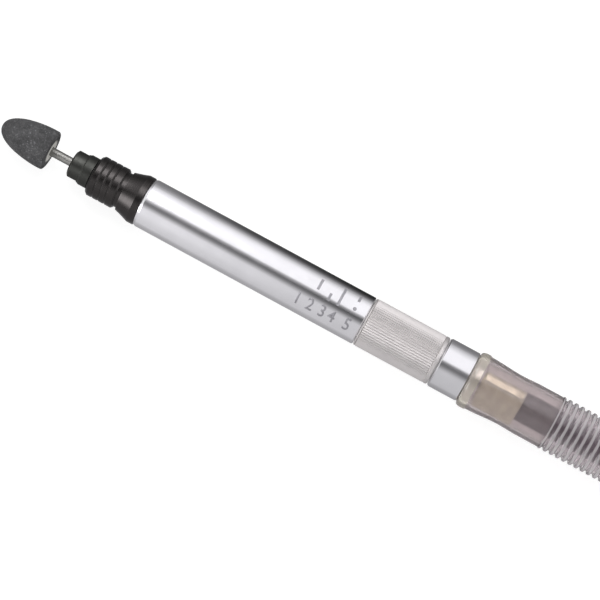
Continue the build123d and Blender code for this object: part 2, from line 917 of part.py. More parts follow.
with BuildPart() as hose_nut:
    with BuildSketch(half_plane()):
        with BuildLine():
            Polyline(
                (flange_front, nipple_flange + touch),
                (flange_front, hose_nut_radius - 0.6),
                (flange_front + 0.6, hose_nut_radius),
                (hose_nut_rear - 0.5, hose_nut_radius),
                (hose_nut_rear, hose_nut_radius - 0.5),
                (hose_nut_rear, nipple_root + touch),
                (flange_rear + touch, nipple_root + touch),
                (flange_rear + touch, nipple_flange + touch),
                close=True,
            )
        make_face()
    revolve(axis=tool_axis)
    # Flats that let the spent air pass into the exhaust hose
    with BuildSketch(cross_plane(flange_front)):
        with PolarLocations(hose_nut_flat + hose_nut_radius / 2, flat_count, start_angle=flat_angle):
            Rectangle(hose_nut_radius, 3 * hose_nut_radius)
    extrude(amount=hose_nut_length, mode=Mode.SUBTRACT)
hose_nut.part.label = "hose_nut"
export_step(hose_nut.part, "parts/hose_nut.step")

# Clear exhaust hose with its cuff
lip_front = collar_rear + touch
waist_rear = collar_rear + cuff_plain_at

with BuildPart() as exhaust_cuff:
    with BuildSketch(half_plane()):
        with BuildLine():
            Line((lip_front, spigot_radius + slip), (lip_front, lip_radius - lip_round))
            RadiusArc((lip_front, lip_radius - lip_round), (lip_front + lip_round, lip_radius), lip_round)
            Polyline(
                (lip_front + lip_round, lip_radius),
                (collar_rear + lip_length, lip_radius),
                (collar_rear + lip_length + lip_step, cuff_shoulder),
            )
            Spline(
                (collar_rear + lip_length + lip_step, cuff_shoulder),
                (collar_rear + cuff_middle_at, cuff_middle),
                (collar_rear + cuff_waist_at, cuff_waist),
                (waist_rear, cuff_radius),
                tangents=((1, 0), (1, 0)),
            )
            Polyline(
                (waist_rear, cuff_radius),
                (cuff_rear, cuff_radius),
                (cuff_rear, exhaust_bore),
                (spigot_rear + 1.2, exhaust_bore),
                (spigot_rear + 0.1, spigot_radius + slip),
                (lip_front, spigot_radius + slip),
            )
        make_face()
    revolve(axis=tool_axis)
exhaust_cuff.part.label = "exhaust_cuff"
export_step(exhaust_cuff.part, "parts/exhaust_cuff.step")

rib_line = [(cuff_rear, exhaust_bore), (cuff_rear, rib_root)]
for rib in range(rib_count):
    foot = cuff_rear + rib_lead + rib_pitch * rib
    rib_line.append((foot, rib_root))
    rib_line.append((foot + 0.3, rib_crest))
    rib_line.append((foot + 1.3, rib_crest))
    rib_line.append((foot + 1.6, rib_root))
rib_line.append((exhaust_rear, rib_root))
rib_line.append((exhaust_rear, exhaust_bore))

with BuildPart() as exhaust_hose:
    with BuildSketch(half_plane()):
        with BuildLine():
            Polyline(*rib_line, close=True)
        make_face()
    revolve(axis=tool_axis)
exhaust_hose.part.label = "exhaust_hose"
export_step(exhaust_hose.part, "parts/exhaust_hose.step")

# Air hose: a free run, an oval coil in two layers, and a tail to the plug
low = hose_radius + tie_thickness + 0.2
high = low + layer_step
mid = (low + high) / 2
near = coil_step
far = coil_width - coil_step
coil_middle = (coil_left + coil_right) / 2
supply_points = (
    (tip_x + hose_start, 0, axis_height),
    (122.0, 0, axis_height),
    (196.0, 0, 8.5),
    (242.0, 0, low),
    (265.0, 0, low),
)
tail_points = (
    (coil_left, coil_width, high),
    (222.0, coil_width, high),
    (176.0, plug_y, plug_z),
    (148.0, plug_y, plug_z),
)

with BuildPart() as supply_hose:
    with BuildLine():
        FilletPolyline(*supply_points, radius=corner_radii(supply_points))
    with BuildSketch(Plane(supply_points[0], x_dir=(0, 1, 0), z_dir=(1, 0, 0))):
        Circle(hose_radius)
        Circle(hose_bore, mode=Mode.SUBTRACT)
    sweep()
supply_hose.part.label = "supply_hose"
export_step(supply_hose.part, "parts/supply_hose.step")


def fold(side, y_from, y_to, height):
    """Three points of the half turn that joins two straight runs of the coil."""
    x = coil_right if side > 0 else coil_left
    reach = abs(y_to - y_from) / 2
    middle = (x + side * reach, (y_from + y_to) / 2, height)
    return (x, y_from, height), middle, (x, y_to, height)


with BuildPart() as hose_coil:
    with BuildLine():
        Line(supply_points[-1], (coil_right, 0, low))
        ThreePointArc(*fold(1, 0, coil_width, low))
        Line((coil_right, coil_width, low), (coil_left, coil_width, low))
        ThreePointArc(*fold(-1, coil_width, near, low))
        Line((coil_left, near, low), (coil_right, near, low))
        ThreePointArc(*fold(1, near, far, low))
        TangentArc((coil_right, far, low), (coil_middle, far, mid), tangent=(-1, 0, 0))
        TangentArc((coil_left, far, high), (coil_middle, far, mid), tangent=(1, 0, 0))
        ThreePointArc(*fold(-1, far, near, high))
        Line((coil_left, near, high), (coil_right, near, high))
        ThreePointArc(*fold(1, near, coil_width, high))
        Line((coil_right, coil_width, high), (coil_left, coil_width, high))
    with BuildSketch(Plane(supply_points[-1], x_dir=(0, 1, 0), z_dir=(1, 0, 0))):
        Circle(hose_radius)
        Circle(hose_bore, mode=Mode.SUBTRACT)
    sweep()
hose_coil.part.label = "hose_coil"
export_step(hose_coil.part, "parts/hose_coil.step")

with BuildPart() as hose_tail:
    with BuildLine():
        FilletPolyline(*tail_points, radius=corner_radii(tail_points))
    with BuildSketch(Plane(tail_points[0], x_dir=(0, 1, 0), z_dir=(-1, 0, 0))):
        Circle(hose_radius)
        Circle(hose_bore, mode=Mode.SUBTRACT)
    sweep()
hose_tail.part.label = "hose_tail"
export_step(hose_tail.part, "parts/hose_tail.step")

bundle = ((0, low), (near, low), (near, high))
tie_plane = Plane((coil_middle, 0, 0), x_dir=(0, 1, 0), z_dir=(1, 0, 0))
tie_bands = (
    (hose_radius + tie_gap + tie_thickness, Mode.ADD),
    (hose_radius + tie_gap, Mode.SUBTRACT),
)
with BuildPart() as hose_tie:
    for reach, mode in tie_bands:
        with BuildSketch(tie_plane):
            with BuildLine():
                Polyline(*bundle, close=True)
            make_face()
            offset(amount=reach)
        extrude(amount=tie_width, mode=mode)
hose_tie.part.label = "hose_tie"
export_step(hose_tie.part, "parts/hose_tie.step")

# Coupling plug: local x runs from the plug's tip towards the hose
plug_plane = Plane((plug_tip, plug_y, plug_z), x_dir=(1, 0, 0), z_dir=(0, -1, 0))
plug_axis = Axis((plug_tip, plug_y, plug_z), (1, 0, 0))
hose_end = tail_points[-1][0] - plug_tip
ferrule_front = hose_end - 1.4
hose_stop = hose_end - 0.4

ferrule_line = [
    (ferrule_front, plug_radius),
    (ferrule_front, ferrule_radius - 0.4),
    (ferrule_front + 0.4, ferrule_radius),
]
for crimp in crimps:
    ferrule_line.append((hose_end + crimp - crimp_half, ferrule_radius))
    ferrule_line.append((hose_end + crimp - crimp_half / 2, ferrule_radius - crimp_depth))
    ferrule_line.append((hose_end + crimp + crimp_half / 2, ferrule_radius - crimp_depth))
    ferrule_line.append((hose_end + crimp + crimp_half, ferrule_radius))
ferrule_line.append((hose_end + ferrule_length - 0.4, ferrule_radius))
ferrule_line.append((hose_end + ferrule_length, ferrule_radius - 0.4))
ferrule_line.append((hose_end + ferrule_length, hose_radius + slip))
ferrule_line.append((hose_stop, hose_radius + slip))
ferrule_line.append((hose_stop, plug_radius))

with BuildPart() as plug_ferrule:
    with BuildSketch(plug_plane):
        with BuildLine():
            Polyline(*ferrule_line, close=True)
        make_face()
    revolve(axis=plug_axis)
plug_ferrule.part.label = "plug_ferrule"
export_step(plug_ferrule.part, "parts/plug_ferrule.step")

with BuildPart() as air_plug:
    with BuildSketch(plug_plane):
        with BuildLine():
            Polyline(
                (0, plug_bore),
                (0, plug_radius - 0.6),
                (0.6, plug_radius),
                (plug_length, plug_radius),
                (plug_length + 0.6, plug_neck),
                (plug_length + 3.4, plug_neck),
                (plug_length + 4.0, plug_collar),
                (plug_length + 7.0, plug_collar),
                (plug_length + 7.6, plug_radius + 0.2),
                (ferrule_front, plug_radius + 0.2),
                (ferrule_front, plug_radius - slip),
                (hose_stop, plug_radius - slip),
                (hose_stop, plug_neck),
                (hose_end + 11.0, plug_neck),
                (hose_end + 11.5, plug_neck - 0.5),
                (hose_end + 11.5, plug_bore),
                close=True,
            )
        make_face()
    revolve(axis=plug_axis)
    hex_foot = (plug_tip + hex_start, plug_y, plug_z)
    with BuildSketch(Plane(hex_foot, x_dir=(0, 1, 0), z_dir=(1, 0, 0))):
        RegularPolygon(hex_width, 6, major_radius=False, rotation=30)
        Circle(plug_radius, mode=Mode.SUBTRACT)
    extrude(amount=8.0)
air_plug.part.label = "air_plug"
export_step(air_plug.part, "parts/air_plug.step")
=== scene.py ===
import json
import math

import bmesh
import bpy
from mathutils import Matrix, Quaternion, Vector, noise


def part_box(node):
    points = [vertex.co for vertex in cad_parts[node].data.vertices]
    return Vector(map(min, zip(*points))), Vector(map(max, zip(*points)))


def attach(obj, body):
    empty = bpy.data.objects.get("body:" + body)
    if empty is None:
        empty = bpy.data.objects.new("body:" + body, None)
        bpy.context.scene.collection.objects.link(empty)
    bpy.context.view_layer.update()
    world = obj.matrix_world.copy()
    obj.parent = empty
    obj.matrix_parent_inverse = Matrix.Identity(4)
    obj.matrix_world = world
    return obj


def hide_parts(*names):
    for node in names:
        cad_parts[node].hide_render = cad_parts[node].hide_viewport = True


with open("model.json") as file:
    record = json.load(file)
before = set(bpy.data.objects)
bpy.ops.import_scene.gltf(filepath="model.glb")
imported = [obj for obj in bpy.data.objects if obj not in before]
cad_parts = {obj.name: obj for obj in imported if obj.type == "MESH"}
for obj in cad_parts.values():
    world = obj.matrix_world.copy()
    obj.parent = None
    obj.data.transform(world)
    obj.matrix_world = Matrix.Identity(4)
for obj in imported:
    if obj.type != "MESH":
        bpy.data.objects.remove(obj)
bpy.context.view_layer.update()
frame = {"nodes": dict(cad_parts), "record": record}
nodes = frame["nodes"]
scene = bpy.context.scene
scene.view_settings.view_transform = "Standard"
mm = 0.001
tiny = 1e-9  # m, less than any real gap
noiseSpan = (0.3, 0.7)  # where most values of a noise lie

# places that the frame gives
barrelLow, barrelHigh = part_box("barrel")
barrelRadius = (barrelHigh.z - barrelLow.z) / 2
axisZ = (barrelHigh.z + barrelLow.z) / 2
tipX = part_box("grinding_stone")[0].x
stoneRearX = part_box("grinding_stone")[1].x
cuffLow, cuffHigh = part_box("exhaust_cuff")
print("frame loaded:", len(nodes), "nodes, axis at", round(axisZ / mm, 2), "mm")


def linear(hexColour):
    parts = [int(hexColour[i : i + 2], 16) / 255 for i in (1, 3, 5)]
    parts = [p / 12.92 if p <= 0.04045 else ((p + 0.055) / 1.055) ** 2.4 for p in parts]
    return (*parts, 1.0)


def perMm(size):  # pattern scale for a feature of this many millimetres
    return 1 / (size * mm)


def ends(side, pair):  # a range's two ends, as a node names them
    return {side + " Min": pair[0], side + " Max": pair[1]}


def addNode(tree, kind, inputs=None, **settings):
    node = tree.nodes.new(kind)
    for name, value in settings.items():
        setattr(node, name, value)
    for name, value in (inputs or {}).items():
        if isinstance(value, bpy.types.NodeSocket):
            tree.links.new(value, node.inputs[name])
        else:
            node.inputs[name].default_value = value
    return node


def emptyMaterial(name):
    material = bpy.data.materials.new(name)
    material.use_nodes = True
    material.node_tree.nodes.clear()
    return material


def newMaterial(name):
    material = emptyMaterial(name)
    tree = material.node_tree
    shader = addNode(tree, "ShaderNodeBsdfPrincipled")
    addNode(tree, "ShaderNodeOutputMaterial", {"Surface": shader.outputs["BSDF"]})
    return material, tree, shader


def addPiece(name, mesh, body, slot, *replaced):
    piece = bpy.data.objects.new(name, mesh)
    scene.collection.objects.link(piece)
    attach(piece, body)
    if replaced:
        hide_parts(*replaced)
    piece.data.materials.append(looks[slot])
    return piece


def meshOf(thing):  # the thing's mesh with its modifiers applied
    depsgraph = bpy.context.evaluated_depsgraph_get()
    return bpy.data.meshes.new_from_object(thing.evaluated_get(depsgraph))


def takeMesh(mesh, name, sharp=None):  # mesh data, smooth up to this many degrees
    bmesh.ops.recalc_face_normals(mesh, faces=mesh.faces)
    data = bpy.data.meshes.new(name)
    mesh.to_mesh(data)
    mesh.free()
    if sharp:
        data.shade_smooth()
        data.set_sharp_from_angle(angle=math.radians(sharp))
    return data


def onAxis(station, radius, turn):  # turn is from straight up towards +Y
    return Vector((tipX + station, radius * math.sin(turn), axisZ + radius * math.cos(turn)))


# mounted stone: grey silicon carbide
stoneLook = {
    "bond": "#454546",
    "grain": "#575758",
    "grainPick": (0.45, 0.95),  # values of a piece of grit at which bond turns to grain
    # painted glints: a few grains are painted paler, standing in for the sparkle of the grit
    "paintedGlint": "#747477",
    "paintedGlintPick": (0.92, 0.98),
    "gritMm": 0.4,  # the real grit is near 0.2 mm, drawn coarser so that it shows
    "mottleMm": 3.5,
    "mottleTone": (0.6, 1.38),
    "roughness": (0.72, 1.0),
    "relief": 0.7,  # how strongly the bump shows, and its height
    "reliefMm": 0.06,
    # painted light: a pale patch painted on the back face round the shank, as if that face were lit
    "paintedLightBack": "#efede7",
    "paintedLightBackMm": (3.4, 4.2),  # how far the painted light spreads from the shank on the back face
    "backMm": 0.25,  # what lies within this of the rear counts as the back face
}


def firedSiliconCarbide():
    # grit in a vitrified bond, pressed and fired: open, dull, with a pale grain here and there, a few
    # grains painted paler as painted glints, and the back face painted pale round the shank as painted
    # light, as if lit there
    material, tree, shader = newMaterial("siliconCarbideFired")
    place = addNode(tree, "ShaderNodeTexCoord").outputs["Object"]
    grit = addNode(tree, "ShaderNodeTexVoronoi", {"Vector": place, "Scale": perMm(stoneLook["gritMm"])})
    pick = addNode(tree, "ShaderNodeSeparateColor", {"Color": grit.outputs["Color"]})
    grainShare = addNode(tree, "ShaderNodeMapRange", {
        "Value": pick.outputs["Red"], **ends("From", stoneLook["grainPick"])})
    # painted glints: the grains picked here are painted paler
    paintedGlintShare = addNode(tree, "ShaderNodeMapRange", {
        "Value": pick.outputs["Green"], **ends("From", stoneLook["paintedGlintPick"])})
    mottle = addNode(tree, "ShaderNodeTexNoise", {
        "Vector": place, "Scale": perMm(stoneLook["mottleMm"]), "Detail": 4.0})
    tone = addNode(tree, "ShaderNodeMapRange", {
        "Value": mottle.outputs["Fac"], **ends("From", noiseSpan), **ends("To", stoneLook["mottleTone"])})
    body = addNode(tree, "ShaderNodeMixRGB", {
        "Fac": grainShare.outputs["Result"], "Color1": linear(stoneLook["bond"]),
        "Color2": linear(stoneLook["grain"])})
    speckled = addNode(tree, "ShaderNodeMixRGB", {
        "Fac": paintedGlintShare.outputs["Result"], "Color1": body.outputs["Color"],
        "Color2": linear(stoneLook["paintedGlint"])})
    toned = addNode(tree, "ShaderNodeVectorMath", {
        0: speckled.outputs["Color"], "Scale": tone.outputs["Result"]}, operation="SCALE")
    spot = addNode(tree, "ShaderNodeSeparateXYZ", {"Vector": place})
    across = addNode(tree, "ShaderNodeCombineXYZ", {"Y": spot.outputs["Y"], "Z": spot.outputs["Z"]})
    middle = addNode(tree, "ShaderNodeVectorMath", {
        0: across.outputs["Vector"], 1: (0, 0, axisZ)}, operation="DISTANCE")
    near, far = stoneLook["paintedLightBackMm"]
    spread = addNode(tree, "ShaderNodeMapRange", {
        "Value": middle.outputs["Value"], "From Min": far * mm, "From Max": near * mm})
    back = addNode(tree, "ShaderNodeMath", {
        0: spot.outputs["X"], 1: stoneRearX - stoneLook["backMm"] * mm}, operation="GREATER_THAN")
    # painted light: the back face is painted pale within this spread round the shank
    paintedLightShare = addNode(tree, "ShaderNodeMath", {
        0: spread.outputs["Result"], 1: back.outputs["Value"]}, operation="MULTIPLY")
    finished = addNode(tree, "ShaderNodeMixRGB", {
        "Fac": paintedLightShare.outputs["Value"], "Color1": toned.outputs["Vector"],
        "Color2": linear(stoneLook["paintedLightBack"])})
    dull = addNode(tree, "ShaderNodeMapRange", {
        "Value": pick.outputs["Blue"], **ends("To", stoneLook["roughness"])})
    relief = addNode(tree, "ShaderNodeBump", {
        "Height": grit.outputs["Distance"], "Strength": stoneLook["relief"],
        "Distance": stoneLook["reliefMm"] * mm}, invert=True)
    tree.links.new(finished.outputs["Color"], shader.inputs["Base Color"])
    tree.links.new(dull.outputs["Result"], shader.inputs["Roughness"])
    tree.links.new(relief.outputs["Normal"], shader.inputs["Normal"])
    return material


# turned and ground metals share one build: rings round the axis, a little smudging, worn edges
# real feed rings are near 0.05 mm, drawn coarser so that they show
metalLooks = {
    "steel": {
        "name": "steelGround",  # cylindrical grinding: bright, with fine rings that soften it
        "colour": "#c3c4c6", "roughness": (0.2, 0.34), "ringMm": 0.12, "smudgeMm": 5.0, "reliefMm": 0.004},
    "shank_steel": {
        "name": "steelDrawn",  # drawn rod, handled and dulled: flat grey
        "colour": "#8b8b87", "roughness": (0.4, 0.52), "ringMm": 0.3, "smudgeMm": 2.0, "reliefMm": 0.004},
    "ball_steel": {
        "name": "bearingSteelLapped",  # lapped to a mirror, with only a trace of haze
        "colour": "#d6d7d9", "roughness": (0.04, 0.09), "ringMm": 0.6, "smudgeMm": 2.0, "reliefMm": 0.0005},
    "black_steel": {
        "name": "steelBlackOxide",  # turned, then chemically blackened: soft dark sheen, edges rubbed grey
        "colour": "#403e3d", "roughness": (0.22, 0.32), "ringMm": 0.18, "smudgeMm": 4.0, "reliefMm": 0.003,
        "worn": "#858382"},
    "chuck_steel": {
        "name": "steelPhosphated",  # turned, then phosphated: greyer and duller than the oxide
        "colour": "#41423f", "roughness": (0.36, 0.48), "ringMm": 0.2, "smudgeMm": 3.0, "reliefMm": 0.004,
        "worn": "#85857f"},
    "polished_aluminium": {
        "name": "aluminiumPolished",  # turned and buffed: long clear bands of light, faint rings
        "colour": "#f5f5f7", "roughness": (0.13, 0.2), "ringMm": 0.14, "smudgeMm": 9.0, "reliefMm": 0.0012},
    "knurled_aluminium": {
        "name": "aluminiumKnurled",  # rolled flutes, bead blasted: even satin grey
        "colour": "#dcd9d7", "roughness": (0.52, 0.64), "ringMm": 0.3, "smudgeMm": 3.0, "reliefMm": 0.003},
    "plain_aluminium": {
        "name": "aluminiumTurned",  # left from the lathe tool: clear feed rings
        "colour": "#dededf", "roughness": (0.26, 0.4), "ringMm": 0.22, "smudgeMm": 4.0, "reliefMm": 0.006},
    "brass": {
        "name": "brassTurned",  # free-cutting brass from the lathe, a little dulled by air and oil
        "colour": "#efeed0", "roughness": (0.15, 0.25), "ringMm": 0.25, "smudgeMm": 3.0, "reliefMm": 0.004},
    "plated_steel": {
        "name": "steelNickelPlated",  # plated over turned steel: warm bright grey
        "colour": "#cfccc6", "roughness": (0.14, 0.24), "ringMm": 0.3, "smudgeMm": 4.0, "reliefMm": 0.003,
        "worn": "#e6e3dd"},
}
metalFinish = {
    "fadeMm": 6.0,  # rings fade in and out over this much round the axis
    "mixed": (0.7, 1.3),  # rings and smudges added up, from the smoothest to the roughest
    "tone": (0.95, 1.02),
    "relief": 0.5,
    "wornMm": 0.22,  # how far from an edge it is rubbed
    "wornFrom": (0.985, 0.93),  # how well edge and face agree, from unworn to worn
    "wornMost": 0.7,
}


def turnedMetal(look):
    material, tree, shader = newMaterial(look["name"])
    place = addNode(tree, "ShaderNodeTexCoord").outputs["Object"]
    around = perMm(metalFinish["fadeMm"])
    along = addNode(tree, "ShaderNodeMapping", {
        "Vector": place, "Scale": (perMm(look["ringMm"]), around, around)})
    rings = addNode(tree, "ShaderNodeTexNoise", {
        "Vector": along.outputs["Vector"], "Scale": 1.0, "Detail": 3.0})
    smudge = addNode(tree, "ShaderNodeTexNoise", {
        "Vector": place, "Scale": perMm(look["smudgeMm"]), "Detail": 5.0, "Roughness": 0.6})
    mixed = addNode(tree, "ShaderNodeMath", {
        0: rings.outputs["Fac"], 1: smudge.outputs["Fac"]}, operation="ADD")
    polish = addNode(tree, "ShaderNodeMapRange", {
        "Value": mixed.outputs["Value"], **ends("From", metalFinish["mixed"]),
        **ends("To", look["roughness"])})
    tone = addNode(tree, "ShaderNodeMapRange", {
        "Value": smudge.outputs["Fac"], **ends("From", noiseSpan), **ends("To", metalFinish["tone"])})
    toned = addNode(tree, "ShaderNodeVectorMath", {
        0: linear(look["colour"])[:3], "Scale": tone.outputs["Result"]}, operation="SCALE")
    colour = toned.outputs["Vector"]
    if "worn" in look:
        rounded = addNode(tree, "ShaderNodeBevel", {"Radius": metalFinish["wornMm"] * mm}, samples=6)
        facing = addNode(tree, "ShaderNodeNewGeometry")
        agree = addNode(tree, "ShaderNodeVectorMath", {
            0: rounded.outputs["Normal"], 1: facing.outputs["Normal"]}, operation="DOT_PRODUCT")
        rubbed = addNode(tree, "ShaderNodeMapRange", {
            "Value": agree.outputs["Value"], **ends("From", metalFinish["wornFrom"]),
            "To Max": metalFinish["wornMost"]})
        patchy = addNode(tree, "ShaderNodeMath", {
            0: rubbed.outputs["Result"], 1: smudge.outputs["Fac"]}, operation="MULTIPLY")
        edged = addNode(tree, "ShaderNodeMixRGB", {
            "Fac": patchy.outputs["Value"], "Color1": colour, "Color2": linear(look["worn"])})
        colour = edged.outputs["Color"]
    relief = addNode(tree, "ShaderNodeBump", {
        "Height": rings.outputs["Fac"], "Strength": metalFinish["relief"],
        "Distance": look["reliefMm"] * mm})
    shader.inputs["Metallic"].default_value = 1.0
    tree.links.new(colour, shader.inputs["Base Color"])
    tree.links.new(polish.outputs["Result"], shader.inputs["Roughness"])
    tree.links.new(relief.outputs["Normal"], shader.inputs["Normal"])
    return material


# moulded, pressed and woven materials share one build: a grain, a wider mottle and a bump
plainLooks = {
    "vane_composite": {
        "name": "phenolicLaminate",  # resin-bonded linen, sawn: brown with a fine thread
        "colours": ("#7a4a2a", "#94603a"), "roughness": (0.45, 0.62), "grainMm": 0.35, "mottleMm": 2.0,
        "reliefMm": 0.02},
    "seal_rubber": {
        "name": "nitrileMoulded",  # moulded rubber: black, soft shine with a dusty bloom
        "colours": ("#161617", "#232324"), "roughness": (0.4, 0.6), "grainMm": 0.3, "mottleMm": 1.5,
        "reliefMm": 0.004},
    "felt": {
        "name": "feltPressed",  # pressed wool: matt, cream, fibrous
        "colours": ("#b9b2a2", "#d3cdbf"), "roughness": (0.85, 1.0), "grainMm": 0.2, "mottleMm": 0.9,
        "reliefMm": 0.06},
    "hose_grey": {
        "name": "polyurethaneExtruded",  # extruded tube: grey with a violet cast, soft even shine
        "colours": ("#5c5058", "#665a62"), "roughness": (0.55, 0.68), "grainMm": 0.5, "mottleMm": 8.0,
        "reliefMm": 0.006, "specular": 0.3},
    "tie_strap": {
        "name": "nylonWoven",  # woven tape: black, matt, with a thread that catches light
        "colours": ("#1a1a1b", "#343436"), "roughness": (0.62, 0.85), "grainMm": 0.5, "mottleMm": 3.0,
        "reliefMm": 0.08},
}
plainFinish = {"mixed": (0.75, 1.25), "relief": 0.6, "specular": 0.5}


def plainStuff(look):
    material, tree, shader = newMaterial(look["name"])
    place = addNode(tree, "ShaderNodeTexCoord").outputs["Object"]
    grain = addNode(tree, "ShaderNodeTexNoise", {
        "Vector": place, "Scale": perMm(look["grainMm"]), "Detail": 3.0, "Roughness": 0.6})
    mottle = addNode(tree, "ShaderNodeTexNoise", {
        "Vector": place, "Scale": perMm(look["mottleMm"]), "Detail": 4.0})
    mixed = addNode(tree, "ShaderNodeMath", {
        0: grain.outputs["Fac"], 1: mottle.outputs["Fac"]}, operation="ADD")
    share = addNode(tree, "ShaderNodeMapRange", {
        "Value": mixed.outputs["Value"], **ends("From", plainFinish["mixed"])})
    polish = addNode(tree, "ShaderNodeMapRange", {
        "Value": mottle.outputs["Fac"], **ends("From", noiseSpan), **ends("To", look["roughness"])})
    shader.inputs["Specular IOR Level"].default_value = look.get("specular", plainFinish["specular"])
    first, second = look["colours"]
    colour = addNode(tree, "ShaderNodeMixRGB", {
        "Fac": share.outputs["Result"], "Color1": linear(first), "Color2": linear(second)})
    relief = addNode(tree, "ShaderNodeBump", {
        "Height": grain.outputs["Fac"], "Strength": plainFinish["relief"],
        "Distance": look["reliefMm"] * mm})
    tree.links.new(colour.outputs["Color"], shader.inputs["Base Color"])
    tree.links.new(polish.outputs["Result"], shader.inputs["Roughness"])
    tree.links.new(relief.outputs["Normal"], shader.inputs["Normal"])
    return material


# clear exhaust hose: its wall, its cuff, the cuff's thick lip and the crests of its ribs, whose milky vinyl
# is partly a painted highlight along each crest
vinylLooks = {
    "wall": {"name": "vinylExtruded", "colour": "#f4eff1", "haze": "#e0d9db", "clear": 0.965},
    "cuff": {"name": "vinylMoulded", "colour": "#eae2e2", "haze": "#cdc3c4", "clear": 0.87},
    "lip": {"name": "vinylThick", "colour": "#f4f0e5", "haze": "#e4decf", "clear": 0.7},
    # crests: milkier than the wall, partly because they are thicker, partly as a painted highlight along
    # each crest
    "crest": {"name": "vinylCrestHighlight", "colour": "#f0ecee", "haze": "#ded8db", "clear": 0.5},
}
vinylFinish = {"roughness": 0.16, "ior": 1.53, "rippleMm": 2.5, "relief": 0.3, "reliefMm": 0.02}


def softVinyl(look):
    # plasticised PVC: clear where thin, milky and grey where thick, oily shine, faint ripple; on the rib
    # crests the milkiness also stands in for their highlight, a painted highlight
    material, tree, shader = newMaterial(look["name"])
    place = addNode(tree, "ShaderNodeTexCoord").outputs["Object"]
    ripple = addNode(tree, "ShaderNodeTexNoise", {
        "Vector": place, "Scale": perMm(vinylFinish["rippleMm"]), "Detail": 2.0})
    tint = addNode(tree, "ShaderNodeMixRGB", {
        "Fac": ripple.outputs["Fac"], "Color1": linear(look["colour"]), "Color2": linear(look["haze"])})
    relief = addNode(tree, "ShaderNodeBump", {
        "Height": ripple.outputs["Fac"], "Strength": vinylFinish["relief"],
        "Distance": vinylFinish["reliefMm"] * mm})
    shader.inputs["Roughness"].default_value = vinylFinish["roughness"]
    shader.inputs["Transmission Weight"].default_value = look["clear"]
    shader.inputs["IOR"].default_value = vinylFinish["ior"]
    tree.links.new(tint.outputs["Color"], shader.inputs["Base Color"])
    tree.links.new(relief.outputs["Normal"], shader.inputs["Normal"])
    # lamps shine on into the hose: shadow rays pass the wall, a little dimmed
    path = addNode(tree, "ShaderNodeLightPath")
    clear = addNode(tree, "ShaderNodeBsdfTransparent", {"Color": linear(look["haze"])})
    either = addNode(tree, "ShaderNodeMixShader", {
        0: path.outputs["Is Shadow Ray"], 1: shader.outputs["BSDF"], 2: clear.outputs["BSDF"]})
    output = next(node for node in tree.nodes if node.type == "OUTPUT_MATERIAL")
    tree.links.new(either.outputs["Shader"], output.inputs["Surface"])
    return material


# etched scale on the barrel
etchLook = {"colour": "#7c7b80", "edge": "#c2c1c6", "metallic": 0.4, "roughness": 0.55, "grainMm": 0.7}


def etchedMark():
    # electro-etched aluminium: matt dark grey, slightly patchy
    material, tree, shader = newMaterial("aluminiumEtched")
    place = addNode(tree, "ShaderNodeTexCoord").outputs["Object"]
    grain = addNode(tree, "ShaderNodeTexNoise", {
        "Vector": place, "Scale": perMm(etchLook["grainMm"]), "Detail": 3.0})
    colour = addNode(tree, "ShaderNodeMixRGB", {
        "Fac": grain.outputs["Fac"], "Color1": linear(etchLook["colour"]),
        "Color2": linear(etchLook["edge"])})
    shader.inputs["Metallic"].default_value = etchLook["metallic"]
    shader.inputs["Roughness"].default_value = etchLook["roughness"]
    tree.links.new(colour.outputs["Color"], shader.inputs["Base Color"])
    return material


vinyl = {part: softVinyl(look) for part, look in vinylLooks.items()}
looks = {"abrasive": firedSiliconCarbide(), "clear_vinyl": vinyl["wall"]}
for slot, look in metalLooks.items():
    looks[slot] = turnedMetal(look)
for slot, look in plainLooks.items():
    looks[slot] = plainStuff(look)
for row in frame["record"]["subparts"]:
    surface = nodes[row["node"]].data
    surface.materials.clear()
    surface.materials.append(looks[row["material_slot"]])
nodes["collet_nut"].data.materials[0] = looks["chuck_steel"]
nodes["stone_shank"].data.materials[0] = looks["shank_steel"]
print("materials:", len(looks), "finishes on", len(nodes), "nodes")

# the camera: over the tool's rear half, so the circles of its nose bow a little towards the stone
view = {
    "lean": 28.49,  # degrees, how far the tool leans in the frame
    "middle": (11.37, -3.98),  # mm, the point at the picture's middle
    "over": 47.3,  # mm along the tool, where the camera stands
    "away": 760.0,  # mm above the axis
    "lens": 139.8,
    "sensor": 36.0,
}


def addCamera():
    camera = bpy.data.objects.new("photoCamera", bpy.data.cameras.new("photoCamera"))
    camera.data.sensor_width = view["sensor"]
    camera.data.lens = view["lens"]
    along, across = view["middle"]
    camera.location = (view["over"] * mm, across * mm, axisZ + view["away"] * mm)
    tilt = Quaternion((0, 1, 0), math.atan2(view["over"] - along, view["away"]))
    roll = Quaternion((0, 0, 1), math.radians(view["lean"]))
    camera.rotation_euler = (tilt @ roll).to_euler()
    scene.collection.objects.link(camera)
    scene.camera = camera


addCamera()

# air hose: a free run inside the exhaust hose, an oval coil in two layers, and a tail to the plug
hose = {
    "radius": 5.0,  # mm
    "length": 1.31,  # m, from the hose nut to the plug
    "start": [(90.75, 0, 9.8), (122, 0, 9.8), (196, 0, 8.5), (242, 0, 6), (265, 0, 6)],
    "end": [(245, 101, 16.55), (222, 101, 16.55), (176, 100, 6.2), (148, 100, 6.2)],
    "left": 245.0,  # where the coil's runs end
    "right": 305.0,
    "low": 6.0,  # heights of the two layers
    "high": 16.55,
    "climb": (290, 260),  # where the run to the upper layer begins and stops rising
    "steps": 12,  # route points in each half turn
}
coilFolds = [  # side, y from, y to, height
    (1, 0, 101, "low"), (-1, 101, 10.5, "low"), (1, 10.5, 90.5, "low"),
    (-1, 90.5, 10.5, "high"), (1, 10.5, 101, "high")]


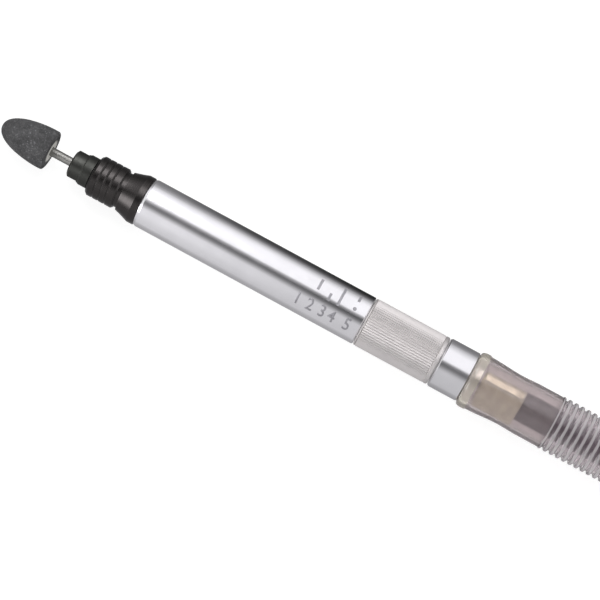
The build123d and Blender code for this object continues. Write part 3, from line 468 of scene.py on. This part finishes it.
def foldPoints(side, yFrom, yTo, height):  # a half turn, its points on the tangent polygon
    reach = (yTo - yFrom) / 2
    step = math.pi / hose["steps"]
    points = []
    for number in range(hose["steps"] + 2):
        turn = (number - 0.5) * step
        far = abs(reach) / math.cos(step / 2) * math.sin(turn)
        across = (yFrom + yTo) / 2 - reach / math.cos(step / 2) * math.cos(turn)
        edge = hose["right"] if side > 0 else hose["left"]
        points.append((edge + side * far, across, hose[height]))
    return points


def routeCurve(name, points, radius):  # one smooth spline with these control points, in mm
    curve = bpy.data.curves.new(name, "CURVE")
    curve.dimensions = "3D"
    curve.resolution_u = 8
    spline = curve.splines.new("NURBS")
    spline.points.add(len(points) - 1)
    for point, place in zip(spline.points, points):
        point.co = (*(value * mm for value in place), 1)
        point.radius = radius * mm
    spline.order_u = 3
    spline.use_endpoint_u = True
    return curve


def layAirHose():
    route = list(hose["start"])
    layer = "low"
    for side, yFrom, yTo, height in coilFolds:
        if height != layer:
            foot, top = hose["climb"]
            route += [(foot, yFrom, hose[layer]), (top, yFrom, hose[height])]
            layer = height
        route += foldPoints(side, yFrom, yTo, height)
    curve = routeCurve("airHose", route + hose["end"], hose["radius"])
    curve.bevel_depth = 1.0  # times each point's radius
    curve.bevel_resolution = 10
    curve.use_fill_caps = True
    return addPiece("airHose", curve, "housing", "hose_grey", "supply_hose", "hose_coil", "hose_tail")


airHose = layAirHose()
print("air hose laid")

# ribbed exhaust hose
ribs = {
    "count": 50,
    "pitch": 2.27,  # mm
    "crest": 9.4,
    "root": 8.5,
    "bore": 7.8,
    "around": 96,
    "route": [(102.1, 0, 9.8), (130, 0, 9.8), (160, 0, 9.8), (190, 0, 9.8), (216.1, 0, 9.8)],
    "profile": [  # one rib: share of the pitch, share of the height
        (0.0, 1.0), (0.12, 1.0), (0.24, 0.93), (0.34, 0.55), (0.4, 0.06), (0.54, 0.0), (0.68, 0.06),
        (0.74, 0.55), (0.84, 0.93), (0.96, 1.0)],
    "highlightSteps": (0, 1, 8, 9),  # steps of the profile that are the crest, made milky: partly thicker vinyl, partly a painted highlight along each crest
    "sharp": 60,  # degrees, edges over this stay sharp
}


def tubeRing(mesh, centre, forward, radius):
    side = Vector((0, 1, 0))
    up = forward.cross(side).normalized()
    ring = []
    for number in range(ribs["around"]):
        turn = 2 * math.pi * number / ribs["around"]
        ring.append(mesh.verts.new(centre + radius * (math.cos(turn) * side + math.sin(turn) * up)))
    return ring


def bridge(mesh, first, second, finish=0):
    for number in range(len(first)):
        after = (number + 1) % len(first)
        face = mesh.faces.new((first[number], first[after], second[after], second[number]))
        face.material_index = finish


def layExhaustHose():
    bare = bpy.data.objects.new("exhaustRoute", routeCurve("exhaustRoute", ribs["route"], ribs["crest"]))
    line = [vertex.co.copy() for vertex in bpy.data.meshes.new_from_object(bare).vertices]
    bpy.data.objects.remove(bare)
    along = [0.0]
    for before, after in zip(line, line[1:]):
        along.append(along[-1] + (after - before).length)

    def at(distance):  # place and direction on the route
        index = max(i for i in range(len(line) - 1) if along[i] <= distance + tiny)
        share = (distance - along[index]) / (along[index + 1] - along[index])
        return line[index].lerp(line[index + 1], share), (line[index + 1] - line[index]).normalized()

    mesh = bmesh.new()
    path = []
    outer = []
    height = ribs["crest"] - ribs["root"]
    for rib in range(ribs["count"]):
        for share, rise in ribs["profile"]:
            centre, forward = at((rib + share) * ribs["pitch"] * mm)
            outer.append(tubeRing(mesh, centre, forward, (ribs["root"] + height * rise) * mm))
            path.append(centre)
    centre, forward = at(along[-1])
    outer.append(tubeRing(mesh, centre, forward, ribs["root"] * mm))
    path.append(centre)
    inner = [tubeRing(mesh, centre, forward, ribs["bore"] * mm)]
    for rib in reversed(range(ribs["count"])):
        centre, forward = at(rib * ribs["pitch"] * mm)
        inner.append(tubeRing(mesh, centre, forward, ribs["bore"] * mm))
    rings = outer + inner
    for number, (first, second) in enumerate(zip(rings, rings[1:] + rings[:1])):
        # crest faces take the milky vinyl, partly a painted highlight
        crest = number < len(outer) and number % len(ribs["profile"]) in ribs["highlightSteps"]
        bridge(mesh, first, second, int(crest))
    data = takeMesh(mesh, "exhaustHose", ribs["sharp"])
    piece = addPiece("exhaustHose", data, "housing", "clear_vinyl", "exhaust_hose")
    data.materials.append(vinyl["crest"])
    return piece, path


exhaustHose, exhaustPath = layExhaustHose()
print("exhaust hose:", ribs["count"], "ribs")

# strap round three runs of the coil
strap = {
    "middle": 280.0,  # mm, where it stands along the coil
    "width": 10.0,
    "thick": 0.8,
    "inside": 5.15,  # from the hose's middle
    "runs": [(0, 6.0), (10.5, 6.0), (10.5, 16.55)],  # y and z of the runs that it holds
    "tongue": (0.48, 0.92),  # where the loose end lies, as shares of the way round
    "steps": 16,
    "edge": 0.2,  # rounding
    "sharp": 40,
}


def strapOutline(offset):  # round the runs, from the lower left corner
    points = []
    count = len(strap["runs"])
    for number, corner in enumerate(strap["runs"]):
        before = strap["runs"][number - 1]
        after = strap["runs"][(number + 1) % count]
        first = math.atan2(corner[1] - before[1], corner[0] - before[0]) - math.pi / 2
        last = math.atan2(after[1] - corner[1], after[0] - corner[0]) - math.pi / 2
        sweep = (last - first) % (2 * math.pi)
        for step in range(strap["steps"] + 1):
            turn = first + sweep * step / strap["steps"]
            points.append((corner[0] + offset * math.cos(turn), corner[1] + offset * math.sin(turn)))
    return points


def strapBand(mesh, inside, outside, closed):
    left = (strap["middle"] - strap["width"] / 2) * mm
    right = (strap["middle"] + strap["width"] / 2) * mm
    rows = []
    for (yIn, zIn), (yOut, zOut) in zip(inside, outside):
        corners = ((left, yIn, zIn), (right, yIn, zIn), (right, yOut, zOut), (left, yOut, zOut))
        rows.append([mesh.verts.new((x, y * mm, z * mm)) for x, y, z in corners])
    pairs = list(zip(rows, rows[1:]))
    if closed:
        pairs.append((rows[-1], rows[0]))
    for first, second in pairs:
        bridge(mesh, first, second)
    if not closed:
        mesh.faces.new(rows[0])
        mesh.faces.new(rows[-1])


def tieHose():
    mesh = bmesh.new()
    inner = strapOutline(strap["inside"])
    middle = strapOutline(strap["inside"] + strap["thick"])
    outer = strapOutline(strap["inside"] + 2 * strap["thick"])
    strapBand(mesh, inner, middle, True)
    start, stop = (int(share * len(outer)) for share in strap["tongue"])
    strapBand(mesh, middle[start:stop], outer[start:stop], False)
    data = takeMesh(mesh, "hoseStrap", strap["sharp"])
    piece = addPiece("hoseStrap", data, "housing", "tie_strap", "hose_tie")
    edge = piece.modifiers.new("softEdge", "BEVEL")
    edge.width = strap["edge"] * mm
    edge.segments = 2
    edge.limit_method = "ANGLE"
    return piece


hoseStrap = tieHose()
print("strap tied")

# mounted stone, its grain raised on a fine grid
stone = {
    "gridMm": 0.2,
    "gritMm": 0.55,
    "finer": 2.1,  # times as fine, a second grain over the first
    "finerShare": 0.5,
    "riseMm": 0.05,
}


def dressStone():
    rough = bpy.data.objects.new("roughStone", nodes["grinding_stone"].data.copy())
    scene.collection.objects.link(rough)
    grid = rough.modifiers.new("grid", "REMESH")
    grid.mode = "VOXEL"
    grid.voxel_size = stone["gridMm"] * mm
    data = meshOf(rough)
    bpy.data.objects.remove(rough)
    normals = [normal.vector.copy() for normal in data.vertex_normals]
    for vertex, normal in zip(data.vertices, normals):
        place = vertex.co / (stone["gritMm"] * mm)
        grain = noise.noise(place) + stone["finerShare"] * noise.noise(place * stone["finer"])
        vertex.co += normal * grain * stone["riseMm"] * mm
    data.shade_smooth()
    data.materials.clear()
    return addPiece("mountedStone", data, "mounted_point", "abrasive", "grinding_stone")


mountedStone = dressStone()
print("stone:", len(mountedStone.data.vertices), "points")

# cuff that holds the exhaust hose on the collar
cuff = {
    "lip": 3.2,  # mm, length of the thick lip
    "lipRound": (1.9, 1.1),  # of its front edge: along and across
    "lipRear": (0.3, 0.05),  # of its rear edge
    "wall": [(3.7, 9.45), (15.3, 8.85), (22.0, 9.1)],  # behind the lip: mm from its front, radius
    "spigot": 3.8,  # depth of the step that grips the spigot
    "spigotRadius": 7.72,
    "taper": 1.1,  # from the step to the bore, along
    "bore": 7.8,
    "endEdge": 0.2,  # chamfer of the rear end
    "around": 144,
    "steps": 10,
    "sharp": 40,
}


def turnCuff():
    lipRadius = (cuffHigh.z - cuffLow.z) / 2 / mm
    front = (cuffLow.x - tipX) / mm
    rear = (cuffHigh.x - tipX) / mm
    outline = [(front, cuff["spigotRadius"])]
    shares = [step / cuff["steps"] for step in range(cuff["steps"] + 1)]
    back, drop = cuff["lipRound"]
    for share in shares:
        turn = math.pi / 2 * share
        outline.append((front + back * (1 - math.cos(turn)), lipRadius - drop * (1 - math.sin(turn))))
    back, drop = cuff["lipRear"]
    outline += [(front + cuff["lip"] - back, lipRadius), (front + cuff["lip"], lipRadius - drop)]
    lipCount = len(outline) - 1  # strips of faces that are the lip
    for (start, first), (stop, last) in zip(cuff["wall"], cuff["wall"][1:]):
        for share in shares[:-1]:
            ease = share * share * (3 - 2 * share)
            outline.append((front + start + (stop - start) * share, first + (last - first) * ease))
    wallEnd, endRadius = cuff["wall"][-1]
    outline += [
        (front + wallEnd, endRadius),
        (rear - cuff["endEdge"], endRadius),
        (rear, endRadius - cuff["endEdge"]),
        (rear, cuff["bore"]),
        (front + cuff["spigot"] + cuff["taper"], cuff["bore"]),
        (front + cuff["spigot"], cuff["spigotRadius"])]
    mesh = bmesh.new()
    turns = [2 * math.pi * number / cuff["around"] for number in range(cuff["around"])]
    rings = []
    for station, radius in outline:
        rings.append([mesh.verts.new(onAxis(station * mm, radius * mm, turn)) for turn in turns])
    for number, (first, second) in enumerate(zip(rings, rings[1:] + rings[:1])):
        bridge(mesh, first, second, int(number < lipCount))
    data = takeMesh(mesh, "exhaustCuff", cuff["sharp"])
    addPiece("exhaustCuff", data, "housing", "clear_vinyl", "exhaust_cuff")
    data.materials[0] = vinyl["cuff"]
    data.materials.append(vinyl["lip"])


turnCuff()
print("cuff turned")

# setting scale etched on the barrel: numbers, ticks and a dot beside the throttle ring
scale = {
    "stations": [112.8, 117.3, 121.8, 125.3, 130.8],  # mm from the stone's tip
    "digitTurn": -27.5,  # degrees from the top, where the numbers' middles lie
    "digitHeight": 4.6,  # mm
    "digitShare": 0.72,  # a numeral's height as a share of the type size
    "digitBold": 0.09,
    "digitNarrow": 0.8,  # condensed figures, as a share of the type's width
    "ticks": [(), (12, 40), (1, 19), (1, 51), (32, 51)],  # degrees, from and to, over each number
    "tickWide": 0.9,
    "dotTurn": 13.0,
    "dotRadius": 0.65,
    "dotCorners": 24,
    "proud": 0.012,
    "depth": 0.05,
    "slice": 0.25,  # mm between cuts, so that flat shapes bend smoothly
    "weld": 0.002,  # points nearer than this become one
}


def digitMesh(text):
    font = bpy.data.curves.new("digit", "FONT")
    font.body = text
    font.size = scale["digitHeight"] * mm / scale["digitShare"]
    font.align_x = "CENTER"
    font.align_y = "CENTER"
    font.resolution_u = 4
    font.offset = scale["digitBold"] * mm
    thing = bpy.data.objects.new("digit", font)
    mesh = bpy.data.meshes.new_from_object(thing)
    bpy.data.objects.remove(thing)
    return mesh


def etchScale():
    sheet = bmesh.new()
    for number, station in enumerate(scale["stations"]):
        start = len(sheet.verts)
        sheet.from_mesh(digitMesh(str(number + 1)))
        sheet.verts.ensure_lookup_table()
        shift = Vector((station * mm, math.radians(scale["digitTurn"]) * barrelRadius, 0))
        for vertex in sheet.verts[start:]:
            vertex.co.x *= scale["digitNarrow"]
            vertex.co += shift
        if scale["ticks"][number]:
            foot, top = (math.radians(turn) * barrelRadius for turn in scale["ticks"][number])
            half = scale["tickWide"] / 2 * mm
            corners = [(-half, foot), (half, foot), (half, top), (-half, top)]
            sheet.faces.new([sheet.verts.new((station * mm + x, y, 0)) for x, y in corners])
    middle = Vector((scale["stations"][-1] * mm, math.radians(scale["dotTurn"]) * barrelRadius, 0))
    bmesh.ops.create_circle(sheet, cap_ends=True, segments=scale["dotCorners"],
                            radius=scale["dotRadius"] * mm, matrix=Matrix.Translation(middle))
    low = min(vertex.co.y for vertex in sheet.verts)
    high = max(vertex.co.y for vertex in sheet.verts)
    cut = low + scale["slice"] * mm
    while cut < high:
        everything = sheet.verts[:] + sheet.edges[:] + sheet.faces[:]
        bmesh.ops.bisect_plane(sheet, geom=everything, plane_co=(0, cut, 0), plane_no=(0, 1, 0))
        cut += scale["slice"] * mm
    bmesh.ops.remove_doubles(sheet, verts=sheet.verts, dist=scale["weld"] * mm)
    for vertex in sheet.verts:
        turn = vertex.co.y / barrelRadius
        vertex.co = onAxis(vertex.co.x, barrelRadius + scale["proud"] * mm, turn)
    data = takeMesh(sheet, "settingScale")
    piece = addPiece("settingScale", data, "housing", "polished_aluminium")
    data.materials[0] = etchedMark()
    thick = piece.modifiers.new("depth", "SOLIDIFY")
    thick.thickness = (scale["proud"] + scale["depth"]) * mm


etchScale()
print("scale etched")

# the stage: white paper floor, white surround, two lamps, and cards that only metal and the clear hose show
stage = {
    "floorSize": 6.0,  # m
    "floorDrop": 0.1,  # mm under the tool
    "plain": "#e4e4e4",  # the paper as it lights matt surfaces
    "shaded": "#b4b4b4",  # the paper as it is seen, which takes the shadow
    "paper": 0.78,  # glow of the paper as it is seen, white with a faint shadow
    "fill": 0.72,  # light of the surround on matt surfaces
    "archRadius": 0.5,  # m, cards bent round the tool
    "stripRadius": 0.48,
    "tableLift": 0.2,  # mm, cards on the table
}
lamps = {  # m and W
    "keyLamp": {"place": (-0.1, 0.5, 0.9), "size": 0.5, "power": 2.3},
    "softLamp": {"place": (0.2, -0.6, 0.7), "size": 0.6, "power": 0.3},
}
# cards bent round the tool and lying beside it, brightness from the stone to the hose
cardGlow = {
    "white": (1.04, 1.03, 1.03, 1.02),  # the big card over the far side
    "edge": (0.44, 0.42, 0.42, 0.6),
    "gap": (0.16, 0.12, 0.04, 0.17),  # the dark gap right over the tool
    "grey": (0.84, 0.66, 0.61, 0.56),  # the dull card over the near side
    "dim": (0.72, 0.62, 0.6, 0.55),
    "low": (0.66, 0.6, 0.59, 0.54),
    "farShade": (0.22, 0.07, 0.02, 0.2),  # the tool's own shade on the table
    "nearShade": (0.4, 0.4, 0.4, 0.34),
    "strip": (6.2,),  # mirrored by the black nose alone
    "stripEdge": (2.0,),
    "brass": (3.0,),  # mirrored by the brass, through the clear cuff
    "brassLow": (0.86,),
    "edgeShade": (0.12,),  # seen through the cuff's edges, which bend the view sideways
}
cardTint = (1.0, 0.985, 1.015)  # a touch of violet
archRows = [  # degrees from straight up towards +Y
    (100, "edge"), (68, "white"), (43, "white"), (17, "white"), (7, "gap"), (-7, "gap"), (-29, "grey"),
    (-48, "grey"), (-75, "dim"), (-100, "low")]
farRows = [(4, "farShade"), (23, "farShade"), (100, "edge"), (600, "edge")]  # mm from the tool's middle
nearRows = [(-600, "low"), (-50, "low"), (-21, "nearShade"), (-4, "nearShade")]
stripRows = [(25, "strip"), (47, "strip"), (62, "stripEdge")]
brassRows = [(20, "brass"), (58, "brass")]
flatRows = [(-110, "brassLow"), (-40, "brassLow")]
farEdgeRows = [(11, "edgeShade"), (20, "edgeShade")]
nearEdgeRows = [(-20, "edgeShade"), (-11, "edgeShade")]
archColumns = (-600, -100, -12, 20, 80, 600)  # mm along the tool
tableColumns = (-600, -50, -15, 32, 61, 600)
stripColumns = (-350, -230, -118)
brassColumns = (0, 60, 120)
flatColumns = (0, 120, 240)
edgeColumns = (0, 52, 104)
squareCards = {  # lit in the middle, and mirrored by the slopes: mm
    "noseCard": {
        "from": (-54, -3, 17), "towards": (-0.645, -0.54, 0.54), "away": 500, "half": 200, "glow": 5.6},
    "rearCard": {
        "from": (70, 0, 18), "towards": (0.85, 0.0, 0.53), "away": 600, "half": 260, "glow": 1.6},
}
squareSteps = (-1, -0.4, 0.4, 1)  # shares of the half, dark at the rim


def seenShare(tree):  # 1 for rays that the camera, metal or glass sees, 0 for light on matt surfaces
    path = addNode(tree, "ShaderNodeLightPath")
    seen = path.outputs["Is Camera Ray"]
    for other in ("Is Glossy Ray", "Is Transmission Ray"):
        either = addNode(tree, "ShaderNodeMath", {0: seen, 1: path.outputs[other]}, operation="MAXIMUM")
        seen = either.outputs["Value"]
    return seen


def stageSheet(name, corners, faces):  # with an empty material
    mesh = bpy.data.meshes.new(name)
    mesh.from_pydata(corners, [], faces)
    sheet = bpy.data.objects.new(name, mesh)
    scene.collection.objects.link(sheet)
    material = emptyMaterial(name)
    mesh.materials.append(material)
    return sheet, material.node_tree


def addFloor():
    half = stage["floorSize"] / 2
    level = -stage["floorDrop"] * mm
    corners = [(-half, -half, level), (half, -half, level), (half, half, level), (-half, half, level)]
    tree = stageSheet("floor", corners, [(0, 1, 2, 3)])[1]
    plain = addNode(tree, "ShaderNodeBsdfDiffuse", {"Color": linear(stage["plain"])})
    shaded = addNode(tree, "ShaderNodeBsdfDiffuse", {"Color": linear(stage["shaded"])})
    white = addNode(tree, "ShaderNodeEmission", {"Strength": stage["paper"]})
    backed = addNode(tree, "ShaderNodeAddShader", {0: shaded.outputs["BSDF"], 1: white.outputs["Emission"]})
    either = addNode(tree, "ShaderNodeMixShader", {
        0: seenShare(tree), 1: plain.outputs["BSDF"], 2: backed.outputs["Shader"]})
    addNode(tree, "ShaderNodeOutputMaterial", {"Surface": either.outputs["Shader"]})


def addSurround():
    world = bpy.data.worlds.new("surround")
    scene.world = world
    world.use_nodes = True
    tree = world.node_tree
    tree.nodes.clear()
    strength = addNode(tree, "ShaderNodeMapRange", {
        "Value": seenShare(tree), "To Min": stage["fill"], "To Max": 1.0})
    light = addNode(tree, "ShaderNodeBackground", {"Strength": strength.outputs["Result"]})
    addNode(tree, "ShaderNodeOutputWorld", {"Surface": light.outputs["Background"]})


def addMirrored(name, corners, faces, glows):  # a card that shows only in reflections, brightness by corner
    card, tree = stageSheet(name, corners, faces)
    for ray in ("camera", "diffuse", "transmission", "volume_scatter", "shadow"):
        setattr(card, "visible_" + ray, False)
    paint = card.data.color_attributes.new("glow", "FLOAT_COLOR", "POINT")
    for corner, glow in zip(paint.data, glows):
        corner.color = (*(glow * share for share in cardTint), 1)
    colour = addNode(tree, "ShaderNodeVertexColor", layer_name="glow")
    light = addNode(tree, "ShaderNodeEmission", {"Color": colour.outputs["Color"]})
    addNode(tree, "ShaderNodeOutputMaterial", {"Surface": light.outputs["Emission"]})
    return card


def gridFaces(high, wide):
    return [(i * wide + j, i * wide + j + 1, (i + 1) * wide + j + 1, (i + 1) * wide + j)
            for i in range(high - 1) for j in range(wide - 1)]


def addGrid(name, rows, columns, place):  # the outer two brightnesses run on to the ends
    corners = [place(where, x * mm) for where, _ in rows for x in columns]
    glows = []
    for _, level in rows:
        glow = cardGlow[level]
        glows += [glow[0], *glow, glow[-1]]
    return addMirrored(name, corners, gridFaces(len(rows), len(columns)), glows)


def addBehindClear(name, rows, columns, place):  # seen only through the clear hose
    card = addGrid(name, rows, columns, place)
    card.visible_transmission = True
    card.visible_glossy = False


def roundTool(turn, radius):
    angle = math.radians(turn)
    return radius * math.sin(angle), axisZ + radius * math.cos(angle)


def onArch(turn, x):
    return x, *roundTool(turn, stage["archRadius"])


def onStrip(turn, x):
    return x, *roundTool(turn, stage["stripRadius"])


def onTable(away, x):
    return x, away * mm, stage["tableLift"] * mm


def addSquare(name, square):
    towards = Vector(square["towards"]).normalized()
    middle = (Vector(square["from"]) + towards * square["away"]) * mm
    side = towards.cross(Vector((0, 0, 1))).normalized() * square["half"] * mm
    up = side.cross(towards)
    places = [(a, b) for b in squareSteps for a in squareSteps]
    corners = [middle + side * a + up * b for a, b in places]
    glows = [square["glow"] if max(abs(a), abs(b)) < 1 else 0.0 for a, b in places]
    addMirrored(name, corners, gridFaces(len(squareSteps), len(squareSteps)), glows)


def addLamp(name, look):  # turned to the tool's middle
    lamp = bpy.data.objects.new(name, bpy.data.lights.new(name, "AREA"))
    lamp.data.size = look["size"]
    lamp.data.energy = look["power"]
    lamp.location = look["place"]
    aim = Vector((0, 0, axisZ)) - Vector(look["place"])
    lamp.rotation_euler = aim.to_track_quat("-Z", "Y").to_euler()
    lamp.visible_glossy = False
    lamp.visible_transmission = False
    scene.collection.objects.link(lamp)


addFloor()
addSurround()
arch = addGrid("mirroredArch", archRows, archColumns, onArch)
arch.visible_transmission = True  # the brass mirrors it through the clear cuff
addGrid("mirroredFarTable", farRows, tableColumns, onTable)
addGrid("mirroredNearTable", nearRows, tableColumns, onTable)
addGrid("mirroredStrip", stripRows, stripColumns, onStrip)
addBehindClear("mirroredByBrass", brassRows, brassColumns, onStrip)
addBehindClear("mirroredByFlat", flatRows, flatColumns, onStrip)
addBehindClear("shadeFarSide", farEdgeRows, edgeColumns, onTable)
addBehindClear("shadeNearSide", nearEdgeRows, edgeColumns, onTable)
for name, square in squareCards.items():
    addSquare(name, square)
for name, lamp in lamps.items():
    addLamp(name, lamp)
print("stage set")
